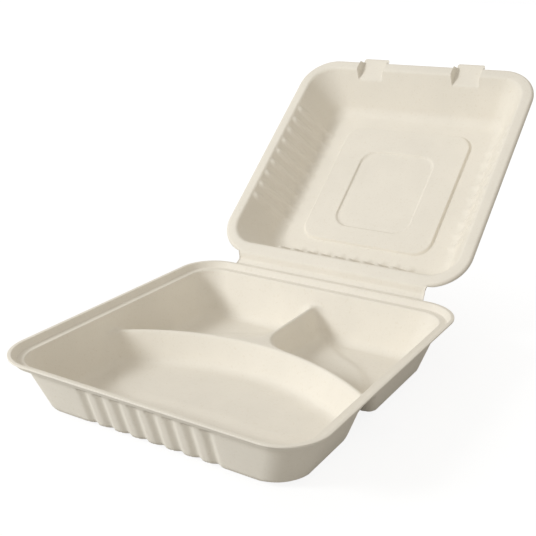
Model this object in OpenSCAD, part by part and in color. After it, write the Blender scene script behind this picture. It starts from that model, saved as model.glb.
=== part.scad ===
// Three-compartment meal box, pressed as one sheet of sugarcane fibre.
// The sheet is written as two height surfaces over the plan, an upper and a lower one.
// The tray stands on the table with its centre over the origin, and the hinge is at the back.

/* [Tray] */
// Width of the tray over its rim, side to side
tray_w = 230; // [215:1:250]
// Depth of the tray over its rim, front to hinge
tray_d = 232; // [220:1:250]
// Height of the rim above the table
tray_h = 40; // [34:0.5:46]
// Thickness of the fibre sheet in the tray
tray_wall = 1.1; // [0.8:0.05:1.4]
// Radius of the rim's corners in plan
rim_r = 29; // [26:1:34]
// Width of the flat lip at the rim's edge
lip_w = 2.5; // [2:0.1:4]
// Height of the step from the lip down to the ledge
step_h = 4.5; // [3:0.1:6]
// Width that the step takes in plan
step_run = 2.5; // [1.5:0.1:4]
// Width of the ledge that carries the closed lid
ledge_w = 5; // [3.5:0.1:6]
// Lean of the tray's walls from the vertical, in degrees
wall_draft = 18; // [12:1:22]
// Radius of the corners of the tray's walls in plan
wall_r = 20; // [16:1:26]
// Radius of the sweep from the floor into the walls
foot_r = 8; // [5:0.5:12]

/* [Dividers] */
// Height of the dividers' tops above the table
ridge_h = 24; // [18:0.5:28]
// Radius of the curved divider in plan
arc_r = 165; // [140:1:220]
// Distance of the curved divider's highest point behind the centre
arc_y = 18.5; // [10:0.5:26]
// Width of the flat top of a divider
ridge_w = 3.2; // [2.4:0.1:5]
// Lean of the dividers' sides from the vertical, in degrees
ridge_draft = 22; // [18:1:30]
// Reach of the blend where a divider meets a wall
wall_blend = 10; // [8:1:28]
// Reach of the web where the two dividers meet
web_blend = 26; // [14:1:32]

/* [Flutes] */
// Number of flutes in the tray's front wall
tray_flutes = 8; // [4:2:8]
// Distance between neighbouring flutes of the tray
tray_pitch = 13.2; // [12:0.1:14]
// Width of one flute of the tray
tray_flute_w = 11; // [7:0.25:11.5]
// Number of flutes in each fluted wall of the lid
lid_flutes = 9; // [5:1:9]
// Distance between neighbouring flutes of the lid
lid_pitch = 12.4; // [11:0.1:12.8]
// Width of one flute of the lid
lid_flute_w = 9.5; // [7:0.25:10.5]
// Depth of one flute
flute_depth = 2.1; // [1:0.1:2.4]

/* [Lid] */
// Width of the lid over its flange
lid_w = 215; // [200:1:216]
// Distance of the lid's front edge from the fold
lid_reach = 226; // [218:1:226]
// Distance of the flange's hinge-side edge from the fold
lid_back = 9.5; // [8:0.5:12]
// Thickness of the fibre sheet in the lid
lid_wall = 0.7; // [0.6:0.05:1]
// Inside height of the lid over its flange
lid_h = 38; // [34:0.5:40]
// Radius of the lid's corners in plan
lid_r = 31; // [26:1:36]
// Radius of the corners of the lid's walls in plan, at the flange
lid_wall_r = 22; // [16:1:23]
// Width of the lid's flange
flange_w = 9; // [7:0.5:11]
// Lean of the lid's walls from the vertical, in degrees
lid_draft = 27; // [22:1:28]
// Radius of the sweep from the lid's walls into its top
lid_foot_r = 12; // [6:0.5:13]
// Width of the panel pressed into the lid's top
panel_w = 118; // [100:1:120]
// Length of the panel pressed into the lid's top
panel_d = 126; // [100:1:128]
// Height by which the panel stands into the box
panel_h = 2.2; // [1:0.1:4]
// Width of the field in the panel's middle
field_w = 67; // [50:1:80]
// Length of the field in the panel's middle
field_d = 69; // [50:1:80]
// Height by which the field is pressed back out
field_h = 1.4; // [0.8:0.1:2]
// Angle to which the lid stands open, from closed
open_angle = 140; // [0:1:180]

/* [Fold and tabs] */
// Width of the strip that joins the lid to the tray
band_w = 164; // [150:1:166]
// Distance of the fold behind the tray's rim
fold_gap = 0.4; // [0.3:0.05:0.8]
// Free gap between the closed lid and the tray
seat_gap = 0.3; // [0.3:0.05:0.6]
// Width of one closing tab
tab_w = 27.5; // [20:0.5:32]
// Distance of each tab's middle from the centre line
tab_x = 44.5; // [36:0.5:50]
// Reach of the tabs past the flange
tab_reach = 8.5; // [7:0.5:10]

/* [Hidden] */
// Steps in half of a corner's turn
half_turn = 3;
// Step for slopes taken from a surface
slope_step = 0.05;
// Rounding where two surfaces meet
soft = 1.5;
ridge_soft = 3;
// Levels of the tray
ledge_z = tray_h - step_h;
step_end = lip_w + step_run;
// Sheet shift beside the step, so that its lower side keeps the same thickness
step_shift = tray_wall * tan(atan2(step_h, step_run) / 2);
// Half sizes and radius of the line where the walls would meet the floor
wall_run = (ledge_z - tray_wall) * tan(wall_draft);
foot_a = tray_w / 2 - step_end - ledge_w - wall_run;
foot_b = tray_d / 2 - step_end - ledge_w - wall_run;
foot_tangent = foot_r * tan((90 - wall_draft) / 2);
floor_a = foot_a - foot_tangent;
floor_b = foot_b - foot_tangent;
// Dividers
arc_cy = arc_y - arc_r;
ridge_run = (ridge_h - tray_wall) * tan(ridge_draft);
ridge_foot = ridge_w / 2 + ridge_run;
// Lengths across a divider are scaled to the walls' lean, so that one profile serves both
lean_ratio = tan(wall_draft) / tan(ridge_draft);
// Height of a tray flute's plain end below the ledge, and the height over which a flute fades in
flute_plain = 3;
flute_fade = 4;
// Fold line
fold_y = tray_d / 2 + fold_gap;
fold_z = tray_h + seat_gap / 2;
// Lower side of the flange when the lid is closed
flange_z = ledge_z + seat_gap;
lid_cy = fold_y - (lid_back + lid_reach) / 2;
lid_a = lid_w / 2;
lid_b = (lid_reach - lid_back) / 2;
// Half sizes and radius of the line where the lid's walls would meet its top
lid_run = lid_h * tan(lid_draft);
top_a = lid_a - flange_w - lid_run;
top_b = lid_b - flange_w - lid_run;
lid_tangent = lid_foot_r * tan((90 - lid_draft) / 2);
// The lid's corners grow tighter towards its top
top_in = lid_tangent + flute_depth;
top_in_r = 10;
tighten = (lid_wall_r - top_in_r) / (lid_run + top_in);
top_r = lid_wall_r - tighten * lid_run;
// Corners and pressed edges of the panel and of its field
panel_r = 14;
field_r = 15;
press_w = 3;
// Strip at the fold: its rise over the flange, and where it starts to fall
band_rise = tray_h + seat_gap - flange_z;
band_flat = fold_gap + lip_w + 1.2;
// Tabs: rise of the tip over the flange, slope of the plate, and width of the side walls in plan
tab_rise = band_rise;
tab_slope = 0.18;
tab_side = 0.8;
tab_shift = 0.7;
tab_round = 3;
// Inset at which the plate of a tab meets the lid's front wall
tab_meet = (tab_rise + tab_slope * tab_reach + flange_w / tan(lid_draft)) / (1 / tan(lid_draft) - tab_slope);

// General helpers
function clamp(v, lo, hi) = min(max(v, lo), hi);
function smooth(v) = let (c = clamp(v, 0, 1)) c * c * (3 - 2 * c);
function soft_min(p, q, k) = let (h = max(k - abs(p - q), 0) / k) min(p, q) - h * h * k / 4;
function soft_max(p, q, k) = -soft_min(-p, -q, k);
function mix(p, q, f) = p + (q - p) * f;
function back_to_front(list) = [for (i = [len(list) - 1:-1:0]) list[i]];
function all_but_last(list) = [for (i = [0:len(list) - 2]) list[i]];

// Inset of the rounded rectangle that passes through a point. The rectangle with no inset
// has half sizes a and b and corner radius r, and the radius falls by the share t of the inset
function inside(x, y, a, b, r, t) =
    let (u = abs(x) - a + r, v = abs(y) - b + r, m = 1 - t, straight = min(a - abs(x), b - abs(y)))
    min(u, v) + m * straight <= 0 ? straight
    : let (p = 2 * m * m - t * t, q = m * (u + v) + r * t)
      (sqrt(max(q * q - p * (u * u + v * v - r * r), 0)) - q) / p;

// Height over the floor at distance c inside the foot of a leaning wall, with a round sweep
function swept(c, r, draft) =
    let (t = r * tan((90 - draft) / 2))
    c >= t ? 0 : c <= -t * sin(draft) ? -c / tan(draft) : r - sqrt(r * r - (c - t) * (c - t));

// One flute's bulge at distance u from its middle
function bulge(u, w) = abs(u) >= w / 2 ? 0 : flute_depth * (1 + cos(360 * u / w)) / 2;
function flutes(u, count, pitch, w) =
    let (k = clamp(round(u / pitch + (count - 1) / 2), 0, count - 1))
    bulge(u - (k - (count - 1) / 2) * pitch, w);

// Upper surface of the tray inside its ledge
function behind_arc(x, y) = norm([x, y - arc_cy]) - arc_r;
function divider(x, y) =
    let (v = behind_arc(x, y))
    (v > 0 ? soft_min(v, abs(x), web_blend) : -v) - ridge_foot;
function tray_in(x, y) =
    let (c = inside(x, y, foot_a, foot_b, wall_r, 0),
         front = y < wall_r - foot_b ? flutes(x, tray_flutes, tray_pitch, tray_flute_w) : 0)
    c - front * smooth((ledge_z - tray_wall + c / tan(wall_draft) - flute_plain) / flute_fade);
function tray_z(x, y) =
    let (c = tray_in(x, y),
         d = divider(x, y) * lean_ratio,
         wall = swept(c, foot_r, wall_draft),
         side = swept(soft_min(c, d, wall_blend * lean_ratio), foot_r, wall_draft),
         rib = soft_min(side, ridge_h - tray_wall, ridge_soft))
    soft_min(tray_wall + max(wall, rib), ledge_z, soft);

// Plan of a ring, counter-clockwise from the middle of the front left corner
function turn(cx, cy, r, a0, a1) =
    [for (i = [0:half_turn]) let (a = mix(a0, a1, i / half_turn)) [cx + r * cos(a), cy + r * sin(a)]];
function front_side(a, b, r, xs) =
    concat(turn(r - a, r - b, r, 225, 270), [for (x = xs) [x, -b]], turn(a - r, r - b, r, 270, 315));
function right_side(a, b, r, ys) =
    concat(turn(a - r, r - b, r, 315, 360), [for (y = ys) [a, y]], turn(a - r, b - r, r, 0, 45));
function back_side(a, b, r, xs) = [for (p = back_to_front(front_side(a, b, r, xs))) [p[0], -p[1]]];
function left_side(a, b, r, ys) = [for (p = back_to_front(right_side(a, b, r, ys))) [-p[0], p[1]]];
function ring(a, b, r, fronts, sides, backs) =
    concat(all_but_last(front_side(a, b, r, fronts)), all_but_last(right_side(a, b, r, sides)),
           all_but_last(back_side(a, b, r, backs)), all_but_last(left_side(a, b, r, sides)));

// Columns and rows of the tray's mesh: they follow the flutes and the dividers
flute_cols = [for (k = [0:tray_flutes - 1], u = [-0.5, 0, 0.5])
    (k - (tray_flutes - 1) / 2) * tray_pitch + u * tray_flute_w];
foot_end = ridge_foot + foot_tangent / lean_ratio;
rib_cols = [ridge_w / 2 - 0.4, ridge_w / 2 + 1.4, ridge_foot - 4, ridge_foot + 1, foot_end];
far_cols = tray_flutes * 3 / 2 - len(rib_cols);
far_step = (floor_a - wall_r - 3 - foot_end) / far_cols;
half_cols = concat(rib_cols, [for (i = [1:far_cols]) foot_end + i * far_step]);
back_cols = concat([for (x = back_to_front(half_cols)) -x], half_cols);
rib_rows = concat([for (off = back_to_front(rib_cols)) -off], rib_cols);
function row_y(x, off) = arc_cy + sqrt((arc_r + off) * (arc_r + off) - x * x);
function side_rows(a) =
    let (r = [for (off = rib_rows) row_y(a, off)], last = r[len(r) - 1], end = floor_b - wall_r)
    concat([mix(-end, r[0], 0.5)], r, [mix(last, end, 0.4), mix(last, end, 0.75)]);

// Rings of the tray's wall, by their distance inside the foot line
wall_top = -wall_run;
rib_top = (tray_wall - ridge_h) * tan(wall_draft);
wall_rings = [wall_top - soft, wall_top - 0.3, wall_top + 0.6, mix(wall_top, rib_top, 0.6), rib_top,
    mix(rib_top, -foot_tangent * sin(wall_draft), 0.5), -foot_tangent * sin(wall_draft),
    -0.3, foot_tangent * 0.4, foot_tangent];
function wall_ring(c) = ring(foot_a - c, foot_b - c, wall_r, flute_cols, side_rows(foot_a - c), back_cols);

// Floor of the tray: a grid inside the innermost ring
floor_front = front_side(floor_a, floor_b, wall_r, flute_cols);
floor_back = back_to_front(back_side(floor_a, floor_b, wall_r, back_cols));
floor_right = right_side(floor_a, floor_b, wall_r, side_rows(floor_a));
cols = len(floor_front) - 1;
rows = len(floor_right) - 1;
// The rows from row_a to row_b run along the curved divider
row_a = half_turn + 2;
row_b = row_a + len(rib_rows) - 1;
first_row = floor_right[row_a][1];
last_row = floor_right[row_b][1];
function floor_point(i, j) =
    let (w = smooth((j - row_a) / (row_b - row_a)),
         uf = (floor_front[i][0] - floor_front[0][0]) / (floor_front[cols][0] - floor_front[0][0]),
         ub = (floor_back[i][0] - floor_back[0][0]) / (floor_back[cols][0] - floor_back[0][0]),
         u = mix(uf, ub, w),
         x = mix(-floor_right[j][0], floor_right[j][0], u),
         y0 = j < row_a ? mix(floor_front[i][1], row_y(x, rib_rows[0]),
                              (floor_right[j][1] - floor_right[0][1]) / (first_row - floor_right[0][1]))
            : j > row_b ? mix(row_y(x, rib_rows[len(rib_rows) - 1]), floor_back[i][1],
                              (floor_right[j][1] - last_row) / (floor_right[rows][1] - last_row))
            : row_y(x, rib_rows[j - row_a]))
    [x, y0];

// A sheet's lower side lies under its upper side by the thickness across the slope
function slope_of(dx, dy) = norm([1, dx / slope_step / 2, dy / slope_step / 2]);

// Faces of strips between rings of n points, of a grid, and of the sheet's edge
function strip(p, q, n) =
    [for (i = [0:n - 1], k = [0, 1]) let (j = (i + 1) % n) k == 0 ? [p + i, q + i, q + j] : [p + i, q + j, p + j]];
function quads(outer, inner) =
    [for (i = [0:len(outer) - 2], k = [0, 1])
        k == 0 ? [outer[i], inner[i], inner[i + 1]] : [outer[i], inner[i + 1], outer[i + 1]]];
// The same between a side with few points and one with many
function seam(few, many) =
    let (h = half_turn, f = len(few) - 1 - h, m = len(many) - 1 - h, mid = floor((m + h) / 2))
    concat(quads([for (i = [0:h]) few[i]], [for (i = [0:h]) many[i]]),
        [for (i = [h:mid - 1]) [few[h], many[i], many[i + 1]]],
        [[few[h], many[mid], few[f]]],
        [for (i = [mid:m - 1]) [few[f], many[i], many[i + 1]]],
        quads([for (i = [f:f + h]) few[i]], [for (i = [m:m + h]) many[i]]));
function run(at, count) = [for (i = [0:count - 1]) at + i];
// Points of a ring of n points from the start of side s to the start of the next one
function side_of(at, starts, n, s) = [for (i = [starts[s]:starts[s + 1]]) at + i % n];
function flip(faces) = [for (f = faces) back_to_front(f)];
function shift(faces, by) = [for (f = faces) [for (v = f) v + by]];

// Tray: rim rings with few points, then the wall rings and the floor grid
rim_n = 8 * half_turn + 4;
wall_n = 2 * (cols + rows);
rim_profile = [
    [0, tray_h, tray_h - tray_wall],
    [lip_w - step_shift, tray_h, tray_h - tray_wall],
    [lip_w, tray_h, tray_h - tray_wall - step_shift * step_h / step_run],
    [step_end - step_shift, ledge_z + step_shift * step_h / step_run, ledge_z - tray_wall],
    [step_end, ledge_z, ledge_z - tray_wall]];
function rim_ring(e) = ring(tray_w / 2 - e, tray_d / 2 - e, rim_r - e, [], [], []);
rim_top = [for (s = rim_profile, p = rim_ring(s[0])) [p[0], p[1], s[1]]];
rim_low = [for (s = rim_profile, p = rim_ring(s[0])) [p[0], p[1], s[2]]];
inner_plan = concat([for (c = wall_rings, p = wall_ring(c)) p],
    [for (j = [1:rows - 1], i = [1:cols - 1]) floor_point(i, j)]);
inner_top = [for (p = inner_plan) [p[0], p[1], tray_z(p[0], p[1])]];
inner_low = [for (p = inner_top) [p[0], p[1], max(0, p[2] - tray_wall
    * slope_of(tray_z(p[0] + slope_step, p[1]) - tray_z(p[0] - slope_step, p[1]),
               tray_z(p[0], p[1] + slope_step) - tray_z(p[0], p[1] - slope_step)))]];
wall_at = len(rim_profile) * rim_n;
last_at = wall_at + (len(wall_rings) - 1) * wall_n;
grid_at = last_at + wall_n;
tray_points = len(rim_top) + len(inner_top);
function grid_index(i, j) =
    j == 0 ? last_at + i
    : i == cols ? last_at + cols + j
    : j == rows ? last_at + 2 * cols + rows - i
    : i == 0 ? last_at + 2 * cols + 2 * rows - j
    : grid_at + (j - 1) * (cols - 1) + i - 1;
rim_side = 2 * half_turn + 1;
rim_starts = [0, rim_side, 2 * rim_side, 3 * rim_side, rim_n];
wall_starts = [0, cols, cols + rows, 2 * cols + rows, wall_n];
tray_faces = concat(
    [for (k = [0:len(rim_profile) - 2]) each strip(k * rim_n, (k + 1) * rim_n, rim_n)],
    [for (s = [0:3])
        each seam(side_of(wall_at - rim_n, rim_starts, rim_n, s), side_of(wall_at, wall_starts, wall_n, s))],
    [for (k = [0:len(wall_rings) - 2]) each strip(wall_at + k * wall_n, wall_at + (k + 1) * wall_n, wall_n)],
    [for (j = [0:rows - 1], i = [0:cols - 1], k = [0, 1])
        k == 0 ? [grid_index(i, j), grid_index(i + 1, j + 1), grid_index(i + 1, j)]
               : [grid_index(i, j), grid_index(i, j + 1), grid_index(i + 1, j + 1)]]);

module tray() {
    color("#ede7da")
    polyhedron(
        points = concat(rim_top, inner_top, rim_low, inner_low),
        faces = concat(tray_faces, flip(shift(tray_faces, tray_points)), strip(tray_points, 0, rim_n)),
        convexity = 8);
}

// Lid, drawn closed. Rise of its upper side over the flange
function lid_in(x, y) =
    let (c = inside(x, y, top_a, top_b, top_r, tighten),
         side = abs(x) - top_a > abs(y) - top_b,
         press = side || y > 0 ? flutes(side ? y : x, lid_flutes, lid_pitch, lid_flute_w) : 0)
    c - press * smooth((lid_h + c / tan(lid_draft)) / flute_fade);
function wall_rise(x, y) =
    soft_max(lid_h - swept(lid_in(x, y), lid_foot_r, lid_draft), 0, soft);
function on_tab(x) = abs(abs(x) - tab_x) < tab_w / 2 - tab_side / 2;
function plate_rise(y) = tab_rise + tab_slope * (y + lid_b + tab_reach);
function lid_rise(x, y) =
    let (w = wall_rise(x, y))
    y < -top_b && on_tab(x) ? max(w, plate_rise(y)) : w;

// Columns of the lid's mesh: they follow the tabs and the flutes
tab_cols = [for (m = [-1, 1], u = [-tab_w / 2, tab_side - tab_w / 2, tab_w / 2 - tab_side, tab_w / 2]) m * tab_x + u];
lid_cols = [for (k = [0:lid_flutes - 1], u = [-0.5, 0, 0.5])
    (k - (lid_flutes - 1) / 2) * lid_pitch + u * lid_flute_w];
function lid_ring(a, b, r, fronts, others) = ring(a, b, r, fronts, others, others);

// Rings from the edge inwards. The outline has few points, the walls many, the panel few
lid_end = flange_w + lid_run;
lid_sweep = lid_end - lid_tangent * sin(lid_draft);
lid_insets = [flange_w - soft / 2, flange_w + 0.4, flange_w + flute_depth, tab_meet, lid_sweep,
    lid_end, lid_end + lid_tangent / 2, lid_end + top_in];
// Rings up to the one where the tabs' plates meet the wall
plate_rings = 4;
edge_plan = lid_ring(lid_a, lid_b, lid_r, tab_cols, []);
lid_plan = [for (e = lid_insets)
    each lid_ring(lid_a - e, lid_b - e, top_r - tighten * (e - lid_end), tab_cols, lid_cols)];
press_rings = [[panel_w, panel_d, panel_r, 0], [panel_w - press_w * 2, panel_d - press_w * 2, panel_r - press_w, -panel_h],
    [field_w, field_d, field_r, -panel_h],
    [field_w - press_w * 2, field_d - press_w * 2, field_r - press_w, field_h - panel_h]];
edge_n = len(edge_plan);
lid_n = 4 * (2 * half_turn + 1) + len(tab_cols) + 3 * len(lid_cols);
press_n = 4 * (2 * half_turn + 1);
front_n = 2 * half_turn + 1 + len(tab_cols);
edge_starts = [0, front_n, front_n + rim_side, front_n + 2 * rim_side, edge_n];
lid_side = rim_side + len(lid_cols);
lid_starts = [0, front_n, front_n + lid_side, front_n + 2 * lid_side, lid_n];
press_starts = [0, rim_side, 2 * rim_side, 3 * rim_side, press_n];

// Tips of the tabs, each from its left inner column round to its right one
tip_plan = [for (m = [-1, 1], p = [[-1, 0.4], [-1, 0], [1, 0], [1, 0.4]])
    let (hw = tab_w / 2 - tab_side - (p[1] == 0 ? tab_round : 0))
    [m * tab_x + p[0] * hw, -lid_b - tab_reach * (1 - p[1])]];

// Strip at the fold: four columns, in rows from the flange back to the fold
band_in = [edge_starts[2] + half_turn - 1, edge_starts[2] + half_turn,
    edge_starts[2] + half_turn + 1, edge_starts[2] + half_turn + 2];
band_rows = [[0.8, 0.4], [0.6, -0.2], [0.4, -0.5], [0.2, -0.6], [0, -0.6]];
function band_s(f) = mix(band_flat, lid_back, f);
function band_up(s) = band_rise * (1 - smooth((s - band_flat) / (lid_back - band_flat)));
band_plan = [for (r = concat(band_rows, [[-band_flat / (lid_back - band_flat), 0]]))
    let (e = band_w / 2 + r[1], in = lid_a - lid_r)
    each [for (x = [e, in, -in, -e]) [x, lid_b + lid_back - band_s(r[0])]]];

// Points of the upper side
tip_at = edge_n;
band_at = tip_at + len(tip_plan);
lid_at = band_at + len(band_plan);
press_at = lid_at + len(lid_plan);
lid_points = press_at + len(press_rings) * press_n;
lid_base = flange_z + lid_wall;
function edge_rise(p) = p[1] < 0 && on_tab(p[0]) ? plate_rise(p[1]) : 0;
function band_z(p) = band_up(lid_b + lid_back - p[1]);
function put(p, z) = [p[0], p[1] + lid_cy, z];
lid_top = concat(
    [for (p = edge_plan) put(p, lid_base + edge_rise(p))],
    [for (p = tip_plan) put(p, lid_base + plate_rise(p[1]))],
    [for (p = band_plan) put(p, lid_base + band_z(p))],
    [for (p = lid_plan) put(p, lid_base + lid_rise(p[0], p[1]))],
    [for (r = press_rings, p = ring(r[0] / 2, r[1] / 2, r[2], [], [], [])) put(p, lid_base + lid_h + r[3])]);
// Points of the lower side. The side walls of a tab keep their thickness by a shift towards its middle
function drawn_in(x) = abs(abs(x) - tab_x) < tab_w ? x - sign(x) * sign(abs(x) - tab_x) * tab_shift : x;
function low_of(p, f0, dx, dy) = [p[0], p[1] + lid_cy, max(flange_z, lid_base + f0 - lid_wall * slope_of(dx, dy))];
lid_low = concat(
    [for (p = edge_plan) put(p[1] < 0 ? [drawn_in(p[0]), p[1]] : p, flange_z + edge_rise(p))],
    [for (p = tip_plan) put(p, flange_z + plate_rise(p[1]))],
    [for (p = band_plan) low_of(p, band_z(p), 0, band_z([0, p[1] + slope_step]) - band_z([0, p[1] - slope_step]))],
    [for (k = [0:len(lid_plan) - 1]) let (p = lid_plan[k], plate = p[1] < 0 && k < plate_rings * lid_n && on_tab(p[0]))
        plate ? put([drawn_in(p[0]), p[1]], flange_z + lid_rise(p[0], p[1]))
        : low_of(p, wall_rise(p[0], p[1]), wall_rise(p[0] + slope_step, p[1]) - wall_rise(p[0] - slope_step, p[1]),
            wall_rise(p[0], p[1] + slope_step) - wall_rise(p[0], p[1] - slope_step))],
    [for (r = press_rings, p = ring(r[0] / 2, r[1] / 2, r[2], [], [], [])) put(p, flange_z + lid_h + r[3])]);

band_loop = [for (k = [0:len(band_rows)]) run(band_at + 4 * k, 4)];
last_ring = press_at + (len(press_rings) - 1) * press_n;
lid_faces = concat(
    quads(run(0, front_n + 1), run(lid_at, front_n + 1)),
    [for (s = [1:3]) each seam(side_of(0, edge_starts, edge_n, s), side_of(lid_at, lid_starts, lid_n, s))],
    [for (k = [0:len(lid_insets) - 2]) each strip(lid_at + k * lid_n, lid_at + (k + 1) * lid_n, lid_n)],
    [for (s = [0:3]) each flip(seam(side_of(press_at, press_starts, press_n, s),
        side_of(press_at - lid_n, lid_starts, lid_n, s)))],
    [for (k = [0:len(press_rings) - 2]) each strip(press_at + k * press_n, press_at + (k + 1) * press_n, press_n)],
    [back_to_front(run(last_ring, press_n))],
    quads(band_loop[0], band_in),
    [for (k = [0:len(band_rows) - 1]) each quads(band_loop[k + 1], band_loop[k])],
    [for (m = [0, 1]) let (i = half_turn + 2 + 4 * m)
        concat([i + 1, for (k = [3:-1:0]) tip_at + 4 * m + k], [i])]);
lid_edge = concat(
    [for (m = [0, 1]) each concat(run(m == 0 ? 0 : half_turn + 3, m == 0 ? half_turn + 3 : 4), run(tip_at + 4 * m, 4))],
    [for (i = [half_turn + 7:band_in[0]]) i],
    [for (k = [0:len(band_rows) - 1]) band_loop[k][0]], band_loop[len(band_rows)],
    [for (k = [len(band_rows) - 1:-1:0]) band_loop[k][3]],
    [for (i = [band_in[3]:edge_n]) i % edge_n]);

module lid() {
    color("#efe9dd")
    translate([0, fold_y, fold_z])
    rotate([-open_angle, 0, 0])
    translate([0, -fold_y, -fold_z])
    polyhedron(
        points = concat(lid_top, lid_low),
        faces = concat(lid_faces, flip(shift(lid_faces, lid_points)),
            quads([for (i = lid_edge) i + lid_points], lid_edge)),
        convexity = 8);
}

tray();
lid();
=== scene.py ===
# Three-compartment meal box of pressed plant fibre: its looks, in the same frame as the part's record.
import math

import bpy
import numpy as np
from mathutils import Matrix, Vector


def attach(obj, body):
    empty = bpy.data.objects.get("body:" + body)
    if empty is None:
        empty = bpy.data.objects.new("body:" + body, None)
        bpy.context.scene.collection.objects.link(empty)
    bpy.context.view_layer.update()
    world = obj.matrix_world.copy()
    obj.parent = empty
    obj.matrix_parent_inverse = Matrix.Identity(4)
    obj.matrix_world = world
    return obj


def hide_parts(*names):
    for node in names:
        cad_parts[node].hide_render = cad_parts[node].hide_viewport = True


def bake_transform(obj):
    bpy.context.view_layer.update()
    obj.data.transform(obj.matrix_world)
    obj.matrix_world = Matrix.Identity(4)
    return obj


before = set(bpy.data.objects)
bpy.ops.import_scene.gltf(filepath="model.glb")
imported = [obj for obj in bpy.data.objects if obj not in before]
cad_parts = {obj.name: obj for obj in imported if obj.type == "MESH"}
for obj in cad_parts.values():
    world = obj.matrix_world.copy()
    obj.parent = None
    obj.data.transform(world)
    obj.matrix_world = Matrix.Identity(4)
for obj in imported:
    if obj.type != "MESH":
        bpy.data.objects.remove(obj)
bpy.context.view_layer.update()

MM = 0.001

# Sizes in millimetres, the same as the part's
TRAY_W, TRAY_D, TRAY_H, TRAY_T = 230.0, 232.0, 40.0, 1.1
RIM_R, LIP_W, STEP_H, STEP_RUN, LEDGE_W = 29.0, 2.5, 4.5, 2.5, 5.0
DRAFT, WALL_R, FOOT_R = 18.0, 20.0, 8.0
RIDGE_H, ARC_R, ARC_Y, RIDGE_W, RIDGE_DRAFT = 24.0, 165.0, 18.5, 3.2, 22.0
WALL_BLEND, WEB_BLEND, SOFT, LID_SOFT, RIDGE_SOFT = 10.0, 26.0, 1.5, 2.4, 3.0
TRAY_FLUTES, TRAY_PITCH, LID_FLUTES, LID_PITCH = 8, 13.2, 9, 12.4
TRAY_FLUTE_W, LID_FLUTE_W, FLUTE_DEPTH, TRAY_PLAIN, LID_FADE = 11.0, 9.5, 2.1, 3.5, 9.0
LID_W, LID_REACH, LID_BACK, LID_T, LID_H, LID_R = 215.0, 226.0, 9.5, 0.7, 38.0, 31.0
FLANGE_W, LID_DRAFT, LID_FOOT_R, LID_WALL_R, TOP_IN_R = 9.0, 27.0, 12.0, 22.0, 10.0
PANEL_W, PANEL_D, PANEL_R, PANEL_H = 118.0, 126.0, 14.0, 2.2
FIELD_W, FIELD_D, FIELD_Y, FIELD_R, FIELD_H, PRESS_W = 70.0, 84.0, 5.0, 14.0, 1.6, 2.0
BAND_W, FOLD_GAP, SEAT_GAP, OPEN = 164.0, 0.4, 0.3, 140.0
TAB_W, TAB_X, TAB_REACH, TAB_SLOPE, TAB_ROUND = 27.5, 44.5, 8.5, 0.18, 3.0
# How far the side wall of a tab runs, and how far its lower side is drawn in
TAB_SIDE, DRAWN_IN = 1.7, 0.7
# The edge of the flange and of the tabs is rolled away from the inside
ROLL_R, WEB_RUN = 2.6, 4.0
TAB_CURL, BAND_EASE = 0.6, 3.0


def tan(a):
    return math.tan(math.radians(a))


LEDGE_Z = TRAY_H - STEP_H
STEP_END = LIP_W + STEP_RUN
WALL_RUN = (LEDGE_Z - TRAY_T) * tan(DRAFT)
FOOT_A = TRAY_W / 2 - STEP_END - LEDGE_W - WALL_RUN
FOOT_B = TRAY_D / 2 - STEP_END - LEDGE_W - WALL_RUN
FOOT_T = FOOT_R * tan((90 - DRAFT) / 2)
FLOOR_A, FLOOR_B = FOOT_A - FOOT_T, FOOT_B - FOOT_T
ARC_CY = ARC_Y - ARC_R
RIDGE_FOOT = RIDGE_W / 2 + (RIDGE_H - TRAY_T) * tan(RIDGE_DRAFT)
LEAN = tan(DRAFT) / tan(RIDGE_DRAFT)
FOLD_Y = TRAY_D / 2 + FOLD_GAP
FOLD_Z = TRAY_H + SEAT_GAP / 2
FLANGE_Z = LEDGE_Z + SEAT_GAP
LID_CY = FOLD_Y - (LID_BACK + LID_REACH) / 2
LID_A, LID_B = LID_W / 2, (LID_REACH - LID_BACK) / 2
LID_RUN = LID_H * tan(LID_DRAFT)
TOP_A, TOP_B = LID_A - FLANGE_W - LID_RUN, LID_B - FLANGE_W - LID_RUN
LID_TAN = LID_FOOT_R * tan((90 - LID_DRAFT) / 2)
TOP_IN = LID_TAN + FLUTE_DEPTH
TIGHTEN = (LID_WALL_R - TOP_IN_R) / (LID_RUN + TOP_IN)
TOP_R = LID_WALL_R - TIGHTEN * LID_RUN
BAND_RISE = TRAY_H + SEAT_GAP - FLANGE_Z
BAND_FLAT = FOLD_GAP + LIP_W + 1.2
TAB_RISE = BAND_RISE


# Height functions
def smooth(v):
    """0 to 1 with soft ends."""
    c = np.clip(v, 0, 1)
    return c * c * (3 - 2 * c)


def soft_min(p, q, k):
    """The lower of two heights, blended over k."""
    h = np.maximum(k - np.abs(p - q), 0) / k
    return np.minimum(p, q) - h * h * k / 4


def soft_max(p, q, k):
    return -soft_min(-p, -q, k)


def inside(x, y, a, b, r, t=0.0):
    """Inset of the rounded rectangle through a point. The corner radius falls by the share t of the inset."""
    u, v, m = np.abs(x) - a + r, np.abs(y) - b + r, 1 - t
    straight = r - np.maximum(u, v)
    p, q = 2 * m * m - t * t, m * (u + v) + r * t
    corner = (np.sqrt(np.maximum(q * q - p * (u * u + v * v - r * r), 0)) - q) / p
    return np.where(np.minimum(u, v) + m * straight <= 0, straight, corner)


def swept(c, r, draft):
    """Height over the floor of a leaning wall with a round foot, at inset c from where the two would meet."""
    t = r * tan((90 - draft) / 2)
    arc = r - np.sqrt(np.maximum(r * r - (c - t) ** 2, 0))
    return np.where(c >= t, 0, np.where(c <= -t * math.sin(math.radians(draft)), -c / tan(draft), arc))


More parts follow.
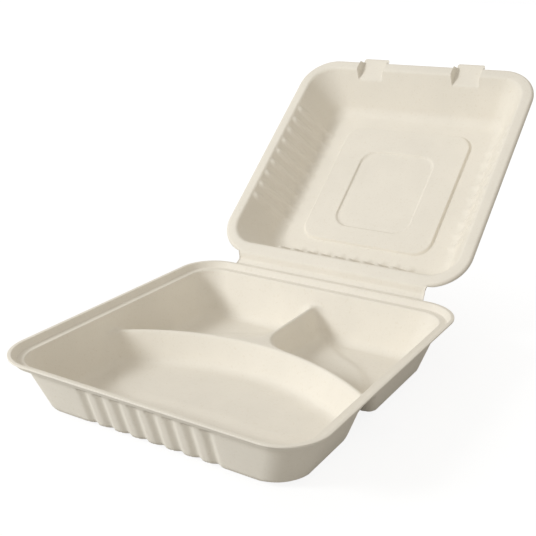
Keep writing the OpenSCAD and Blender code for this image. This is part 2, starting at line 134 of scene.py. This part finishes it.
def flutes(u, count, pitch, w):
    """Depth of a row of flutes at u along the wall."""
    k = np.clip(np.round(u / pitch + (count - 1) / 2), 0, count - 1)
    u = u - (k - (count - 1) / 2) * pitch
    return np.where(np.abs(u) < w / 2, FLUTE_DEPTH * (1 + np.cos(2 * np.pi * u / w)) / 2, 0)


def tray_wall(x, y, c):
    """Height of the wall over the floor. The flutes end in small shelves below the ledge."""
    press = np.where(y < WALL_R - FOOT_B, flutes(x, TRAY_FLUTES, TRAY_PITCH, TRAY_FLUTE_W), 0)
    fluted = soft_min(swept(c - press, FOOT_R, DRAFT), LEDGE_Z - TRAY_T - TRAY_PLAIN, 2.0)
    return np.maximum(swept(c, FOOT_R, DRAFT), fluted)


def divider(x, y):
    """Distance from the foot of the two dividers, the curved one and the straight one behind it."""
    v = np.hypot(x, y - ARC_CY) - ARC_R
    return np.where(v > 0, soft_min(v, np.abs(x), WEB_BLEND), -v) - RIDGE_FOOT


def tray_z(x, y):
    """Height of the tray's upper side inside the ledge."""
    c = inside(x, y, FOOT_A, FOOT_B, WALL_R)
    d = divider(x, y) * LEAN
    wall = tray_wall(x, y, c)
    near = soft_min(c, d, WALL_BLEND * LEAN)
    rib = soft_min(swept(near, FOOT_R, DRAFT), RIDGE_H - TRAY_T, RIDGE_SOFT)
    # The rib runs into the wall softly, and only where the two meet
    k = np.clip(2 * (c - near), 0.01, 6)
    return soft_min(TRAY_T + soft_max(wall, rib, k), LEDGE_Z, SOFT)


def wall_rise(x, y):
    """Height of the lid over its flange, closed."""
    c = inside(x, y, TOP_A, TOP_B, TOP_R, TIGHTEN)
    side = np.abs(x) - TOP_A > np.abs(y) - TOP_B
    press = flutes(np.where(side, y, x), LID_FLUTES, LID_PITCH, LID_FLUTE_W)
    c = c - np.where(side | (y > 0), press, 0) * smooth((LID_H + c / tan(LID_DRAFT)) / LID_FADE)
    return soft_max(LID_H - swept(c, LID_FOOT_R, LID_DRAFT), 0 * x, LID_SOFT)


def top_rise(x, y):
    """The same with the panel and its field."""
    panel = smooth(inside(x, y, PANEL_W / 2, PANEL_D / 2, PANEL_R) / PRESS_W)
    field = smooth(inside(x, y - FIELD_Y, FIELD_W / 2, FIELD_D / 2, FIELD_R) / PRESS_W)
    return wall_rise(x, y) - PANEL_H * panel + FIELD_H * field


STEP = 0.05


def under(f, x, y, thick):
    """Height of the lower side: the sheet keeps its thickness across the slope."""
    dx = (f(x + STEP, y) - f(x - STEP, y)) / (2 * STEP)
    dy = (f(x, y + STEP) - f(x, y - STEP)) / (2 * STEP)
    return f(x, y) - thick * np.sqrt(1 + dx * dx + dy * dy)


# Rings in plan, counter-clockwise from the middle of the front left corner
def turn(cx, cy, r, a0, a1, n):
    """Points on an arc."""
    a = np.radians(np.linspace(a0, a1, n + 1))
    return np.c_[cx + r * np.cos(a), cy + r * np.sin(a)]


def front_side(a, b, r, xs, n):
    mid = np.c_[xs, np.full(len(xs), -b)] if len(xs) else np.zeros((0, 2))
    return np.vstack([turn(r - a, r - b, r, 225, 270, n), mid, turn(a - r, r - b, r, 270, 315, n)])


def right_side(a, b, r, ys, n):
    mid = np.c_[np.full(len(ys), a), ys] if len(ys) else np.zeros((0, 2))
    return np.vstack([turn(a - r, r - b, r, 315, 360, n), mid, turn(a - r, b - r, r, 0, 45, n)])


def ring(a, b, r, fronts, sides, backs, n):
    """Points round a rounded rectangle, with given places along its front, sides and back."""
    back = front_side(a, b, r, backs, n)[::-1] * [1, -1]
    left = right_side(a, b, r, sides, n)[::-1] * [-1, 1]
    front, right_ = front_side(a, b, r, fronts, n), right_side(a, b, r, sides, n)
    return np.vstack([front[:-1], right_[:-1], back[:-1], left[:-1]])


def strips(first, count, n):
    """Quads between rings of n points each, that follow one another in the list of points."""
    k = np.arange(count - 1)[:, None] * n + first
    i = np.arange(n)[None, :]
    j = (i + 1) % n
    return np.stack([k + i, k + j, k + n + j, k + n + i], -1).reshape(-1, 4)


def make(name, points, faces, colour):
    me = bpy.data.meshes.new(name)
    me.from_pydata([tuple(p) for p in points], [], [tuple(int(v) for v in f) for f in faces])
    me.update()
    me.polygons.foreach_set("use_smooth", [True] * len(me.polygons))
    ob = bpy.data.objects.new(name, me)
    bpy.context.scene.collection.objects.link(ob)
    ob.data.materials.append(colour)
    return ob


def shell(name, top, low, faces, loop, colour):
    """A sheet from its two sides. The loop is the edge's points, counter-clockwise."""
    n = len(top)
    up = [tuple(f) for f in faces]
    down = [tuple(v + n for v in reversed(f)) for f in up]
    rim = [(a, a + n, b + n, b) for a, b in zip(loop, loop[1:] + loop[:1])]
    rim = [tuple(reversed(f)) for f in rim]
    return make(name, np.vstack([top, low]) * MM, up + down + rim, colour)


# Pulp
def pulp(name, tint):
    mat = bpy.data.materials.new(name)
    mat.use_nodes = True
    nt = mat.node_tree
    nodes, link = nt.nodes, nt.links.new
    bsdf = nodes["Principled BSDF"]
    where = nodes.new("ShaderNodeTexCoord")

    def noise(scale, detail, rough):
        t = nodes.new("ShaderNodeTexNoise")
        t.inputs["Scale"].default_value = scale
        t.inputs["Detail"].default_value = detail
        t.inputs["Roughness"].default_value = rough
        link(where.outputs["Object"], t.inputs["Vector"])
        return t

    cloud, fibre, grain = noise(28, 4, 0.55), noise(520, 5, 0.7), noise(1900, 3, 0.6)
    ramp = nodes.new("ShaderNodeValToRGB")
    ramp.color_ramp.elements[0].position = 0.3
    ramp.color_ramp.elements[1].position = 0.7
    ramp.color_ramp.elements[0].color = [c * 0.955 for c in tint] + [1]
    ramp.color_ramp.elements[1].color = list(tint) + [1]
    link(cloud.outputs["Fac"], ramp.inputs["Fac"])
    specks = nodes.new("ShaderNodeValToRGB")
    specks.color_ramp.elements[0].position = 0.28
    specks.color_ramp.elements[1].position = 0.44
    specks.color_ramp.elements[0].color = (0.86, 0.82, 0.76, 1)
    specks.color_ramp.elements[1].color = (1, 1, 1, 1)
    link(fibre.outputs["Fac"], specks.inputs["Fac"])
    mix = nodes.new("ShaderNodeMix")
    mix.data_type = "RGBA"
    mix.blend_type = "MULTIPLY"
    mix.inputs["Factor"].default_value = 0.45
    link(ramp.outputs["Color"], mix.inputs["A"])
    link(specks.outputs["Color"], mix.inputs["B"])
    link(mix.outputs["Result"], bsdf.inputs["Base Color"])
    bsdf.inputs["Roughness"].default_value = 0.72
    bsdf.inputs["Specular IOR Level"].default_value = 0.3
    rough = nodes.new("ShaderNodeBump")
    rough.inputs["Strength"].default_value = 0.35
    rough.inputs["Distance"].default_value = 0.0002
    link(fibre.outputs["Fac"], rough.inputs["Height"])
    fine = nodes.new("ShaderNodeBump")
    fine.inputs["Strength"].default_value = 0.3
    fine.inputs["Distance"].default_value = 0.0001
    link(grain.outputs["Fac"], fine.inputs["Height"])
    link(rough.outputs["Normal"], fine.inputs["Normal"])
    link(fine.outputs["Normal"], bsdf.inputs["Normal"])
    return mat


PULP = pulp("pulp", (0.85, 0.81, 0.735))


# Tray
def flute_cols(count, pitch, width, steps):
    u = np.linspace(-0.5, 0.5, steps + 1)
    return np.concatenate([(k - (count - 1) / 2) * pitch + u * width for k in range(count)])


def spread(a, b, n):
    """n points strictly between a and b."""
    return np.linspace(a, b, n + 2)[1:-1]


# Steps in half a corner, and rows of cells before and behind the curved divider
HALF_CORNER, FRONT_ROWS, BACK_ROWS = 10, 16, 16
front_cols = flute_cols(TRAY_FLUTES, TRAY_PITCH, TRAY_FLUTE_W, 12)
edge = FLOOR_A - WALL_R
front_cols = np.concatenate([-spread(front_cols[-1], edge, 4)[::-1], front_cols, spread(front_cols[-1], edge, 4)])
half = len(front_cols) // 2
# Distances from a divider's middle, closer together where it curves
near = np.array([0.4, 0.9, 1.3, 1.7, 2.2, 2.9, 3.8, 5.0, 6.3, 7.6, 8.8, 9.9, 11.0, 12.1,
                 13.2, 14.5, 16.0, 17.5, 19.0, 21.0, 23.5])
far = spread(near[-1], edge, half - len(near))
back_cols = np.concatenate([-far[::-1], -near[::-1], near, far])
offs = np.concatenate([-near[:-1][::-1], [0], near[:-1]])


def row_y(x, off):
    return ARC_CY + np.sqrt((ARC_R + off) ** 2 - np.asarray(x) ** 2)


def side_rows(a):
    r = row_y(min(a, FOOT_A + WALL_RUN + 1), offs)
    end = FLOOR_B - WALL_R
    return np.concatenate([spread(-end, r[0], FRONT_ROWS), r, spread(r[-1], end, BACK_ROWS)])


rib_top = (TRAY_T - RIDGE_H) * tan(DRAFT)
low_c = -FOOT_T * math.sin(math.radians(DRAFT))
insets = np.concatenate([
    np.linspace(-WALL_RUN - 1.2, -WALL_RUN + 0.8, 9),
    np.linspace(-WALL_RUN + 0.8, rib_top - 0.8, 5)[1:],
    np.linspace(rib_top - 0.8, rib_top + 0.8, 7)[1:],
    np.linspace(rib_top + 0.8, low_c, 8)[1:],
    np.linspace(low_c, FOOT_T, 13)[1:]])
wall = [ring(FOOT_A - c, FOOT_B - c, WALL_R, front_cols, side_rows(FOOT_A - c), back_cols, HALF_CORNER)
        for c in insets]
n_ring = len(wall[0])

f_front = front_side(FLOOR_A, FLOOR_B, WALL_R, front_cols, HALF_CORNER)
f_back = front_side(FLOOR_A, FLOOR_B, WALL_R, back_cols, HALF_CORNER) * [1, -1]
f_right = right_side(FLOOR_A, FLOOR_B, WALL_R, side_rows(FLOOR_A), HALF_CORNER)
cols, rows = len(f_front) - 1, len(f_right) - 1
row_a = HALF_CORNER + FRONT_ROWS + 1
row_b = row_a + len(offs) - 1
first_y, last_y = f_right[row_a, 1], f_right[row_b, 1]
core = np.zeros((rows + 1, cols + 1, 2))
for j in range(rows + 1):
    w = smooth((j - row_a) / (row_b - row_a))
    uf = (f_front[:, 0] - f_front[0, 0]) / (f_front[-1, 0] - f_front[0, 0])
    ub = (f_back[:, 0] - f_back[0, 0]) / (f_back[-1, 0] - f_back[0, 0])
    u = uf * (1 - w) + ub * w
    x = -f_right[j, 0] + 2 * f_right[j, 0] * u
    if j < row_a:
        f = (f_right[j, 1] - f_right[0, 1]) / (first_y - f_right[0, 1])
        y = f_front[:, 1] * (1 - f) + row_y(x, offs[0]) * f
    elif j > row_b:
        f = (f_right[j, 1] - last_y) / (f_right[-1, 1] - last_y)
        y = row_y(x, offs[-1]) * (1 - f) + f_back[:, 1] * f
    else:
        y = row_y(x, offs[j - row_a])
    core[j] = np.c_[x, y]

# Profile of the rim: inset and height of the upper side, then of the lower side
shift = TRAY_T * math.tan(math.atan2(STEP_H, STEP_RUN) / 2)


def rounded(profile, r, n=4):
    """A profile with its inner corners rounded by r."""
    out = [profile[0]]
    for a, b, c in zip(profile, profile[1:], profile[2:]):
        a, b, c = map(np.array, (a, b, c))
        da, dc = a - b, c - b
        la, lc = np.linalg.norm(da), np.linalg.norm(dc)
        cut = min(r, la * 0.45, lc * 0.45)
        p, q = b + da / la * cut, b + dc / lc * cut
        for t in np.linspace(0, 1, n + 1):
            out.append(tuple((1 - t) ** 2 * p + 2 * t * (1 - t) * b + t * t * q))
    return out + [profile[-1]]


# The last point only gives the direction of the ledge, and is left out
EDGE_R, ON_LEDGE = 0.5, STEP_END + 4
rim_up = rounded([(0, TRAY_H - EDGE_R), (0, TRAY_H), (LIP_W, TRAY_H), (STEP_END, LEDGE_Z),
                  (ON_LEDGE, LEDGE_Z)], EDGE_R)[:-1]
rim_down = rounded([(0, TRAY_H - EDGE_R), (0, TRAY_H - TRAY_T), (LIP_W - shift, TRAY_H - TRAY_T),
                    (STEP_END - shift, LEDGE_Z - TRAY_T), (ON_LEDGE, LEDGE_Z - TRAY_T)], EDGE_R)[:-1]


def rim_points(profile):
    out = []
    for e, z in profile:
        a, b = TRAY_W / 2 - e, TRAY_D / 2 - e
        p = ring(a, b, RIM_R - e, front_cols, side_rows(a), back_cols, HALF_CORNER)
        out.append(np.c_[p, np.full(len(p), z)])
    return np.vstack(out)


inner = np.vstack(wall + [core[1:-1, 1:-1].reshape(-1, 2)])
x, y = inner[:, 0], inner[:, 1]
top = np.vstack([rim_points(rim_up), np.c_[inner, tray_z(x, y)]])
low = np.vstack([rim_points(rim_down), np.c_[inner, np.maximum(0, under(tray_z, x, y, TRAY_T))]])
n_rings = len(rim_up) + len(wall)
last = (n_rings - 1) * n_ring
grid = np.zeros((rows + 1, cols + 1), int)
grid[0] = last + np.arange(cols + 1)
grid[:, -1] = last + cols + np.arange(rows + 1)
grid[-1] = last + cols + rows + np.arange(cols + 1)[::-1]
grid[1:, 0] = last + cols * 2 + rows + np.arange(rows)[::-1]
grid[1:-1, 1:-1] = last + n_ring + np.arange((rows - 1) * (cols - 1)).reshape(rows - 1, cols - 1)
cells = np.stack([grid[:-1, :-1], grid[:-1, 1:], grid[1:, 1:], grid[1:, :-1]], -1).reshape(-1, 4)
faces = np.vstack([strips(0, n_rings, n_ring), cells])
tray = shell("tray_shell", top, low, faces, list(range(n_ring)), PULP)
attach(tray, "tray")
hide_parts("tray")

# Lid, drawn closed and then swung open
roll_steps = np.concatenate([[0], ROLL_R * (1 - np.sin(np.radians([78, 66, 54, 42, 30, 18, 8, 0])))])


def rolled(e):
    """Rise of the rolled edge at distance e from it."""
    far = np.clip(ROLL_R - e, 0, ROLL_R * 0.985)
    return ROLL_R - np.sqrt(ROLL_R ** 2 - far ** 2)


tab_half = (TAB_W / 2, TAB_W / 2 - DRAWN_IN, TAB_W / 2 - TAB_SIDE, TAB_W / 2 - TAB_SIDE - DRAWN_IN)
tab_cols = [m * TAB_X + u for m in (-1, 1) for u in [-h for h in tab_half] + list(tab_half[::-1])]


def plate(y):
    return TAB_RISE + TAB_SLOPE * (y + LID_B + TAB_REACH)


def tab_mask(x, drawn_in=0.0):
    return smooth((TAB_W / 2 - drawn_in - np.abs(np.abs(x) - TAB_X)) / TAB_SIDE)


def lid_rise(x, y):
    w = top_rise(x, y)
    p = plate(y) * tab_mask(x)
    return np.where(y < -TOP_B, np.maximum(w, p), w)


lid_cols = flute_cols(LID_FLUTES, LID_PITCH, LID_FLUTE_W, 12)
edge = TOP_A - TOP_IN - TOP_IN_R
lid_sides = np.concatenate([-spread(lid_cols[-1], edge, 3)[::-1], lid_cols, spread(lid_cols[-1], edge, 3)])
fine = []
for a, b in zip(tab_cols, tab_cols[1:]):
    fine.append(a)
    n = 3 if b - a < 1 else 8
    fine += list(spread(a, b, n))
fine.append(tab_cols[-1])
lid_fronts = np.concatenate([-spread(-fine[0], edge, 4)[::-1], fine, spread(fine[-1], edge, 4)])
press_low = -LID_TAN * math.sin(math.radians(LID_DRAFT))
end = FLANGE_W + LID_RUN
lid_insets = np.concatenate([
    roll_steps, [3.0, 6.0],
    np.linspace(FLANGE_W - 0.8, FLANGE_W + FLUTE_DEPTH + 1.0, 14),
    np.linspace(FLANGE_W + FLUTE_DEPTH + 1.0, end + press_low, 14)[1:],
    np.linspace(end + press_low, end + TOP_IN, 14)[1:]])


def lid_ring(e):
    r = TOP_R - TIGHTEN * (e - end)
    outer = LID_R - e
    f = smooth((e - 0.5) / (FLANGE_W - 1.5))
    return ring(LID_A - e, LID_B - e, outer * (1 - f) + r * f, lid_fronts, lid_sides, lid_sides, HALF_CORNER)


lid_wall = [lid_ring(e) for e in lid_insets]
n_lid = len(lid_wall[0])
# Rings round the edges of the panel and the field, and a small one in the middle
round_edge = [-3, -0.8, *np.linspace(0, PRESS_W, 7), PRESS_W + 0.8, PRESS_W + 3]
press = []
for w, d, r, off_y, steps in ((PANEL_W, PANEL_D, PANEL_R, 0, round_edge),
                              (FIELD_W, FIELD_D, FIELD_R, FIELD_Y, round_edge), (24, 26, 6, FIELD_Y, [0])):
    for q in steps:
        a, b, r2 = w / 2 - q, d / 2 - q, max(r - q, 1)
        along, across = 0.98 * (a - r2) / (LID_A - LID_R), 0.98 * (b - r2) / (LID_B - LID_R)
        p = ring(a, b, r2, lid_fronts * along, lid_sides * across, lid_sides * along, HALF_CORNER)
        press.append(p + [0, off_y])
lid_plan = np.vstack(lid_wall + press)
count = len(lid_wall) + len(press)
x, y = lid_plan[:, 0], lid_plan[:, 1]
base = FLANGE_Z + LID_T
roll = np.repeat([rolled(e) for e in lid_insets], n_lid)
roll = np.concatenate([roll, np.zeros(len(x) - len(roll))])
# No roll where the strip to the fold and the tabs begin
roll = roll * smooth((np.abs(x) - BAND_W / 2) / 3) * (y > 0) + roll * (y <= 0) * (1 - tab_mask(x))
up = base + lid_rise(x, y)
down = np.maximum(FLANGE_Z, base + under(top_rise, x, y, LID_T))
down = np.where(y < -TOP_B, np.maximum(down, FLANGE_Z + plate(y) * tab_mask(x, DRAWN_IN)), down)
faces = [tuple(f) for f in strips(0, count, n_lid)]
last = (count - 1) * n_lid
faces.append(tuple(range(last, last + n_lid)))
# The edge of the sheet is a little thinner, apart from where more sheet follows
THINNER = 0.25
rounding = np.where((y[:n_lid] < 0) & (tab_mask(x[:n_lid]) > 0.01), 0, THINNER)
lid_top, lid_low = [np.c_[lid_plan, up + roll]], [np.c_[lid_plan, down + roll]]
total = len(lid_plan)
detours = {}


def grow(rows, columns):
    """Adds rows of points outwards from the columns of the edge, and notes the outline they make."""
    global total
    out = [list(columns)]
    for p, z_up, z_down in rows:
        lid_top.append(np.c_[p, z_up])
        lid_low.append(np.c_[p, z_down])
        out.append(list(range(total, total + len(p))))
        total += len(p)
        for i in range(len(p) - 1):
            faces.append((out[-2][i], out[-1][i], out[-1][i + 1], out[-2][i + 1]))
    detours[columns[0]] = (columns[-1], [r[0] for r in out] + out[-1][1:-1] + [r[-1] for r in reversed(out)])


# Tips of the tabs. A small web at each side runs from the flange's edge up to the tip
for m in (-1, 1):
    wide, narrow = TAB_W / 2, TAB_W / 2 - TAB_SIDE
    on = [i for i in range(n_lid) if y[i] < -LID_B + 0.01 and abs(x[i] - m * TAB_X) <= wide + 0.01]
    off = x[on] - m * TAB_X
    added = []
    for q in (0.6, 1.2, 2.0, 3.0, 4.0, 5.0, 5.7, 6.4, 6.9, 7.4, 7.8, 8.1, 8.3, 8.4, 8.5):
        cut = TAB_ROUND - math.sqrt(max(TAB_ROUND ** 2 - max(q - TAB_REACH + TAB_ROUND, 0) ** 2, 0))
        full = float(smooth(q / WEB_RUN))
        px = m * TAB_X + off * (wide + (narrow - wide) * full - cut) / wide
        py = np.full(len(on), -LID_B - q)
        curl = rolled(TAB_REACH - q) * TAB_CURL
        z = plate(py)
        z_up = z * (tab_mask(m * TAB_X + off) * (1 - full) + full) + curl
        z_low = z * (tab_mask(m * TAB_X + off, DRAWN_IN) * (1 - full) + full) + curl
        added.append((np.c_[px, py], base + z_up, FLANGE_Z + z_low))
    grow(added, on)

# Strip between the lid and its fold
back_first = (2 * HALF_CORNER + 1 + len(lid_fronts)) + (2 * HALF_CORNER + 1 + len(lid_sides))
on = list(range(back_first + 7, back_first + 2 * HALF_CORNER + 1 + len(lid_sides) - 6))
rounding[on] = 0
s0 = LID_B + LID_BACK - y[on]


def band_up(s):
    return BAND_RISE * (1 - smooth((s - BAND_FLAT) / (LID_BACK - BAND_FLAT)))


added = []
for s in np.concatenate([np.linspace(LID_BACK, BAND_FLAT, 13)[1:], [3.0, 2.0, 1.0, 0.0]]):
    # The strip is a little narrower in its middle, with a soft curve at each end
    far_edge = BAND_W / 2 + np.interp(s, [0, 4.1, 5.2, 6.4, 7.2, 8.3, 9.5], [0, -0.6, -0.6, -0.5, -0.2, 0.4, 1.2])
    px = x[on] * far_edge / x[on[0]]
    f = smooth((LID_BACK - s) / BAND_EASE)
    py = LID_B + LID_BACK - (s * f + (1 - f) * (s0 - LID_BACK + s))
    slope = math.hypot(1, (band_up(s + STEP) - band_up(s - STEP)) / (2 * STEP))
    z = base + band_up(s)
    added.append((np.c_[px, py], np.full(len(on), z), np.full(len(on), z - LID_T * slope)))
grow(added, on)
lid_top, lid_low = np.vstack(lid_top), np.vstack(lid_low)
lid_top[:n_lid, 2] -= rounding
lid_low[:n_lid, 2] += rounding
lid_low[:, 2] = np.maximum(lid_low[:, 2], FLANGE_Z)
loop, i = [], 0
while i < n_lid:
    if i in detours:
        i, part = detours[i]
        loop += part
    else:
        loop.append(i)
    i += 1

fold = Vector((0, FOLD_Y, FOLD_Z))
swing = Matrix.Translation(fold) @ Matrix.Rotation(math.radians(-OPEN), 4, "X") @ Matrix.Translation(-fold)


def swung(p):
    p = np.array(p, float) + [0, LID_CY, 0]
    m = np.array(swing)
    return p @ m[:3, :3].T + m[:3, 3]


lid = shell("lid_shell", swung(lid_top), swung(lid_low), faces, loop, PULP)
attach(lid, "lid")
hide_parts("lid")

# Crease that joins the two: a short curved strip at the fold. Its path is in y and z, from the tray's lip
path = np.array([(115.3, 39.5), (115.7, 39.5), (116.0, 39.5), (116.15, 39.52), (116.3, 39.55), (116.45, 39.6),
                 (116.6, 39.66), (116.75, 39.74), (117.05, 39.99), (117.4, 40.28)])
ahead = np.gradient(path, axis=0)
ahead /= np.linalg.norm(ahead, axis=1)[:, None]
across = np.c_[-ahead[:, 1], ahead[:, 0]]
half_thick = np.array([0.3, 0.44, 0.46, 0.44, 0.42, 0.4, 0.38, 0.36, 0.28, 0.2])[:, None]
xs = np.linspace(-BAND_W / 2 + 0.1, BAND_W / 2 - 0.1, 60)
crease_top = [(px, q[0], q[1]) for q in path + across * half_thick for px in xs]
crease_low = [(px, q[0], q[1]) for q in path - across * half_thick for px in xs]
n, m = len(xs), len(path)
faces = [(j * n + i, j * n + i + 1, (j + 1) * n + i + 1, (j + 1) * n + i) for j in range(m - 1) for i in range(n - 1)]
loop = list(range(n)) + [j * n + n - 1 for j in range(1, m)] + [(m - 1) * n + i for i in range(n - 2, -1, -1)]
loop += [j * n for j in range(m - 2, 0, -1)]
crease = shell("crease", np.array(crease_top), np.array(crease_low), faces, loop, PULP)
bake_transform(crease)

# Camera, at the photo's angle
AZ, EL, TILT, FOCAL_PIXELS = math.radians(32.003), math.radians(19.196), math.radians(-0.257), 867.29
IMAGE_PIXELS, SENSOR = 536, 36
EYE = Vector((298.895, -444.087, 271.017)) * MM
right = Vector((math.cos(AZ), math.sin(AZ), 0))
ahead = Vector((-math.sin(AZ) * math.cos(EL), math.cos(AZ) * math.cos(EL), -math.sin(EL)))
above = right.cross(ahead)
right, above = math.cos(TILT) * right + math.sin(TILT) * above, math.cos(TILT) * above - math.sin(TILT) * right
cam_data = bpy.data.cameras.new("camera")
cam = bpy.data.objects.new("camera", cam_data)
bpy.context.scene.collection.objects.link(cam)
cam.matrix_world = Matrix((
    (right.x, above.x, -ahead.x, EYE.x),
    (right.y, above.y, -ahead.y, EYE.y),
    (right.z, above.z, -ahead.z, EYE.z),
    (0, 0, 0, 1)))
cam_data.sensor_width = SENSOR
cam_data.lens = FOCAL_PIXELS / IMAGE_PIXELS * SENSOR
cam_data.clip_start = 0.01
bpy.context.scene.camera = cam

# Table and light. Seen directly, the table is white as the studio behind it and keeps the object's shadow
def seen(nt):
    """1 for rays that see a surface directly, in a mirror or through glass."""
    path = nt.nodes.new("ShaderNodeLightPath")
    value = path.outputs["Is Camera Ray"]
    for other in ("Is Glossy Ray", "Is Transmission Ray"):
        add = nt.nodes.new("ShaderNodeMath")
        add.operation = "MAXIMUM"
        nt.links.new(value, add.inputs[0])
        nt.links.new(path.outputs[other], add.inputs[1])
        value = add.outputs[0]
    return value


def two_tones(nt, direct, other_colour, seen_colour):
    """A colour for rays that see the surface directly, and another for the light that it gives."""
    tone = nt.nodes.new("ShaderNodeMix")
    tone.data_type = "RGBA"
    tone.inputs["A"].default_value = other_colour
    tone.inputs["B"].default_value = seen_colour
    nt.links.new(direct, tone.inputs["Factor"])
    return tone.outputs["Result"]


floor_mat = bpy.data.materials.new("table")
floor_mat.use_nodes = True
nt = floor_mat.node_tree
matte = nt.nodes["Principled BSDF"]
matte.inputs["Roughness"].default_value = 0.9
matte.inputs["Specular IOR Level"].default_value = 0
direct = seen(nt)
nt.links.new(two_tones(nt, direct, (0.52, 0.51, 0.49, 1), (0.95, 0.95, 0.95, 1)), matte.inputs["Base Color"])
white = nt.nodes.new("ShaderNodeEmission")
white.inputs["Color"].default_value = (1, 1, 1, 1)
white.inputs["Strength"].default_value = 1.07
where = nt.nodes.new("ShaderNodeTexCoord")
reach = nt.nodes.new("ShaderNodeVectorMath")
reach.operation = "LENGTH"
nt.links.new(where.outputs["Object"], reach.inputs[0])
# Near the box the table's own shading shows, and further off it runs into the white studio
far = nt.nodes.new("ShaderNodeMapRange")
far.inputs["From Min"].default_value = 0.15
far.inputs["From Max"].default_value = 0.55
far.inputs["To Min"].default_value = 0.82
far.inputs["To Max"].default_value = 1.0
nt.links.new(reach.outputs["Value"], far.inputs["Value"])
part = nt.nodes.new("ShaderNodeMath")
part.operation = "MULTIPLY"
nt.links.new(direct, part.inputs[0])
nt.links.new(far.outputs["Result"], part.inputs[1])
blend = nt.nodes.new("ShaderNodeMixShader")
nt.links.new(part.outputs[0], blend.inputs[0])
nt.links.new(matte.outputs["BSDF"], blend.inputs[1])
nt.links.new(white.outputs["Emission"], blend.inputs[2])
nt.links.new(blend.outputs["Shader"], nt.nodes["Material Output"].inputs["Surface"])
TABLE_HALF, TABLE_BELOW = 6, 0.0003
corners = [(TABLE_HALF * i, TABLE_HALF * j, 0) for i, j in ((-1, -1), (1, -1), (1, 1), (-1, 1))]
floor = make("table", corners, [(0, 1, 2, 3)], floor_mat)
floor.location.z = -TABLE_BELOW

scene = bpy.context.scene
world = bpy.data.worlds.new("studio")
scene.world = world
world.use_nodes = True
nt = world.node_tree
sky = nt.nodes["Background"]
nt.links.new(two_tones(nt, seen(nt), (0.56, 0.53, 0.475, 1), (1, 1, 1, 1)), sky.inputs["Color"])
sky.inputs["Strength"].default_value = 1


def light(name, where, target, size, power, colour):
    data = bpy.data.lights.new(name, "AREA")
    data.shape = "RECTANGLE"
    data.size, data.size_y = size
    data.energy = power
    data.color = colour
    ob = bpy.data.objects.new(name, data)
    scene.collection.objects.link(ob)
    ob.location = where
    ob.rotation_euler = (Vector(target) - Vector(where)).to_track_quat("-Z", "Y").to_euler()


light("key", (-0.95, -1.15, 0.85), (0, 0.05, 0.05), (0.4, 0.4), 17, (0.96, 0.985, 1))

scene.view_settings.view_transform = "Standard"
